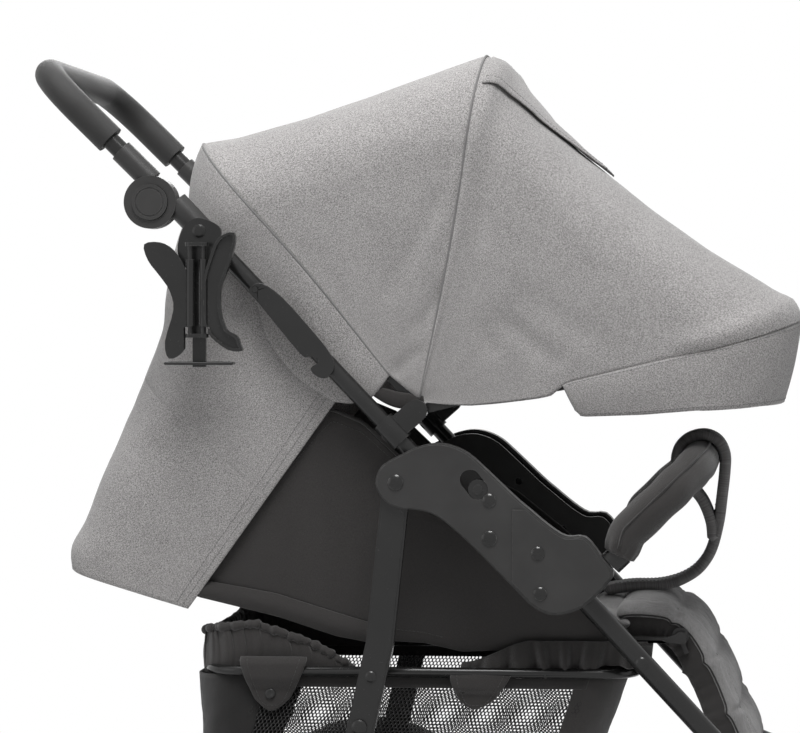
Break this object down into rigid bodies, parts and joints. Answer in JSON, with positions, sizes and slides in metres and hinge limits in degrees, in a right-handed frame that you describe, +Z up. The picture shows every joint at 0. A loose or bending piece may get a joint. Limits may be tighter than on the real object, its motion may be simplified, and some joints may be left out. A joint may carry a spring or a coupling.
{
  "type": "jogging stroller",
  "caption": "Folding three-wheel stroller with reclining seat, canopy, leg rest, bumper bar, tilting handle, cup holder and under-seat basket.",
  "frame": {"origin": "on the floor under the middle of the stroller's outline", "axes": "+X forward toward the front wheel, +Y to the left side, +Z up"},
  "size_m": [1.0422, 0.608, 1.0513],
  "materials": {
    "frame": "satin black paint",
    "plastic": "fine-grained moulded black",
    "foam": "closed-cell foam grip",
    "grey_cloth": "grey melange weave",
    "dark_cloth": "dark plain weave",
    "net": "black net",
    "rivets": "dark rivets",
    "tyre": "matt black tread",
    "rim": "moulded wheel",
    "axle": "plain steel",
    "pedal": "moulded pedal"
  },
  "bodies": {
    "chassis": {"side_cover_r": "plastic", "side_cover_l": "plastic", "inner_shell_r": "plastic", "inner_shell_l": "plastic", "plate_rivets": "rivets", "front_leg_r": "frame", "front_leg_l": "frame", "fork_head": "plastic", "seat_base": "plastic", "seat_pad": "grey_cloth", "side_panel_r": "dark_cloth", "side_panel_l": "dark_cloth", "crotch_strap": "dark_cloth"},
    "fold_lock": {"fold_lock": "plastic"},
    "bumper": {"bumper_bar": "frame", "bumper_cover": "dark_cloth"},
    "upper_frame": {"upper_tube_r": "frame", "upper_tube_l": "frame", "hub_lower_r": "plastic", "hub_lower_l": "plastic", "canopy_clips": "plastic", "canopy_rear_bow": "plastic", "canopy_rear_panel": "grey_cloth", "cup_bracket": "plastic", "cup_base": "plastic", "rear_curtain": "grey_cloth"},
    "hood_middle": {"canopy_mid_bow": "plastic", "canopy_front_panel": "grey_cloth"},
    "hood_front": {"canopy_front_bow": "plastic", "canopy_brim": "rim"},
    "storage_hook": {"fold_hook": "plastic"},
    "cup_jaw_rear": {"cup_jaw_rear": "plastic"},
    "cup_jaw_front": {"cup_jaw_front": "plastic"},
    "handle": {"handle_bar": "frame", "foam_grip": "foam", "hub_upper_r": "plastic", "hub_upper_l": "plastic"},
    "hub_button_r": {"hub_button_r": "plastic"},
    "hub_button_l": {"hub_button_l": "plastic"},
    "backrest": {"backrest_board": "plastic", "backrest_pad": "grey_cloth", "harness": "dark_cloth"},
    "legrest": {"legrest_board": "plastic", "legrest_pad": "grey_cloth"},
    "rear_frame": {"rear_leg_r": "frame", "rear_leg_l": "frame", "rear_axle": "axle"},
    "brake_pedal": {"brake_pedal": "pedal"},
    "brake_pin_r": {"brake_pin_r": "axle"},
    "brake_pin_l": {"brake_pin_l": "axle"},
    "basket": {"basket_ring": "frame", "basket_bag": "net"},
    "rear_wheel_r": {"rear_rim_r": "rim", "rear_tyre_r": "tyre"},
    "rear_wheel_l": {"rear_rim_l": "rim", "rear_tyre_l": "tyre"},
    "caster": {"front_fork": "plastic"},
    "front_wheel": {"front_rim": "rim", "front_tyre": "tyre"},
    "swivel_lock": {"swivel_knob": "axle"}
  },
  "joints": [
    {"name": "frame_fold", "type": "hinge", "parent": "chassis", "child": "upper_frame", "pos_m": [-0.02388, 0, 0.543], "axis": [0, -1, 0], "range_deg": [0, 110], "deforming": ["side_panel_r", "side_panel_l", "rear_curtain"]},
    {"name": "rear_leg_fold", "type": "hinge", "parent": "chassis", "child": "rear_frame", "pos_m": [-0.12188, 0, 0.601], "axis": [0, -1, 0], "range_deg": [0, 25]},
    {"name": "basket_fold", "type": "hinge", "parent": "rear_frame", "child": "basket", "pos_m": [-0.14888, 0, 0.397], "axis": [0, 1, 0], "range_deg": [0, 40.6]},
    {"name": "fold_lock_slide", "type": "slide", "parent": "chassis", "child": "fold_lock", "axis": [-0.6247, 0, 0.7809], "range_m": [0, 0.0125]},
    {"name": "bumper_pull", "type": "slide", "parent": "chassis", "child": "bumper", "axis": [0.7193, 0, 0.6947], "range_m": [0, 0.03], "deforming": ["crotch_strap"]},
    {"name": "hood_front_fold", "type": "hinge", "parent": "hood_middle", "child": "hood_front", "pos_m": [-0.10388, 0, 0.675], "axis": [0, -1, 0], "range_deg": [0, 56], "deforming": ["canopy_front_panel"]},
    {"name": "hood_middle_fold", "type": "hinge", "parent": "upper_frame", "child": "hood_middle", "pos_m": [-0.10388, 0, 0.675], "axis": [0, -1, 0], "range_deg": [0, 36], "deforming": ["canopy_rear_panel"]},
    {"name": "handle_tilt", "type": "hinge", "parent": "upper_frame", "child": "handle", "pos_m": [-0.3851, 0, 0.89494], "axis": [0, 1, 0], "range_deg": [-50, 40]},
    {"name": "hub_button_r_press", "type": "slide", "parent": "handle", "child": "hub_button_r", "axis": [0, 1, 0], "range_m": [0, 0.003], "stiffness_N_per_m": 600},
    {"name": "hub_button_l_press", "type": "slide", "parent": "handle", "child": "hub_button_l", "axis": [0, -1, 0], "range_m": [0, 0.003], "stiffness_N_per_m": 600},
    {"name": "storage_hook_swing", "type": "hinge", "parent": "upper_frame", "child": "storage_hook", "pos_m": [-0.27305, 0, 0.80288], "axis": [0, 1, 0], "range_deg": [0, 35]},
    {"name": "cup_jaw_rear_open", "type": "hinge", "parent": "upper_frame", "child": "cup_jaw_rear", "pos_m": [-0.33863, -0.2468, 0.804], "axis": [0, 0, -1], "range_deg": [-80, 0]},
    {"name": "cup_jaw_front_open", "type": "hinge", "parent": "upper_frame", "child": "cup_jaw_front", "pos_m": [-0.32463, -0.2468, 0.804], "axis": [0, 0, 1], "range_deg": [-80, 0]},
    {"name": "backrest_recline", "type": "hinge", "parent": "chassis", "child": "backrest", "pos_m": [-0.06188, 0, 0.436], "axis": [0, 1, 0], "range_deg": [0, 56]},
    {"name": "legrest_angle", "type": "hinge", "parent": "chassis", "child": "legrest", "pos_m": [0.17212, 0, 0.435], "axis": [0, -1, 0], "range_deg": [0, 58]},
    {"name": "brake_press", "type": "hinge", "parent": "rear_frame", "child": "brake_pedal", "pos_m": [-0.20288, 0, 0.1488], "axis": [0, -1, 0], "range_deg": [0, 20]},
    {"name": "brake_pin_r_slide", "type": "slide", "parent": "rear_frame", "child": "brake_pin_r", "axis": [0, -1, 0], "range_m": [0, 0.01]},
    {"name": "brake_pin_l_slide", "type": "slide", "parent": "rear_frame", "child": "brake_pin_l", "axis": [0, 1, 0], "range_m": [0, 0.01]},
    {"name": "rear_wheel_r_spin", "type": "hinge", "parent": "rear_frame", "child": "rear_wheel_r", "pos_m": [-0.20288, 0, 0.1488], "axis": [0, 1, 0], "continuous": true},
    {"name": "rear_wheel_l_spin", "type": "hinge", "parent": "rear_frame", "child": "rear_wheel_l", "pos_m": [-0.20288, 0, 0.1488], "axis": [0, 1, 0], "continuous": true},
    {"name": "front_swivel", "type": "hinge", "parent": "chassis", "child": "caster", "pos_m": [0.43212, 0, 0.29], "axis": [0, 0, 1], "continuous": true},
    {"name": "front_wheel_spin", "type": "hinge", "parent": "caster", "child": "front_wheel", "pos_m": [0.39612, 0, 0.1238], "axis": [0, 1, 0], "continuous": true},
    {"name": "swivel_lock_slide", "type": "slide", "parent": "chassis", "child": "swivel_lock", "axis": [0, 0, -1], "range_m": [0, 0.01]}
  ],
  "couplings": [
    {"joint": "rear_leg_fold", "follows": "frame_fold", "ratio": 0.22704},
    {"joint": "basket_fold", "follows": "frame_fold", "ratio": 0.36872},
    {"joint": "hood_middle_fold", "follows": "hood_front_fold", "ratio": 0.64221},
    {"joint": "hub_button_l_press", "follows": "hub_button_r_press", "ratio": 1},
    {"joint": "brake_pin_r_slide", "follows": "brake_press", "m_per_rad": 0.028361},
    {"joint": "brake_pin_l_slide", "follows": "brake_press", "m_per_rad": 0.028361}
  ]
}
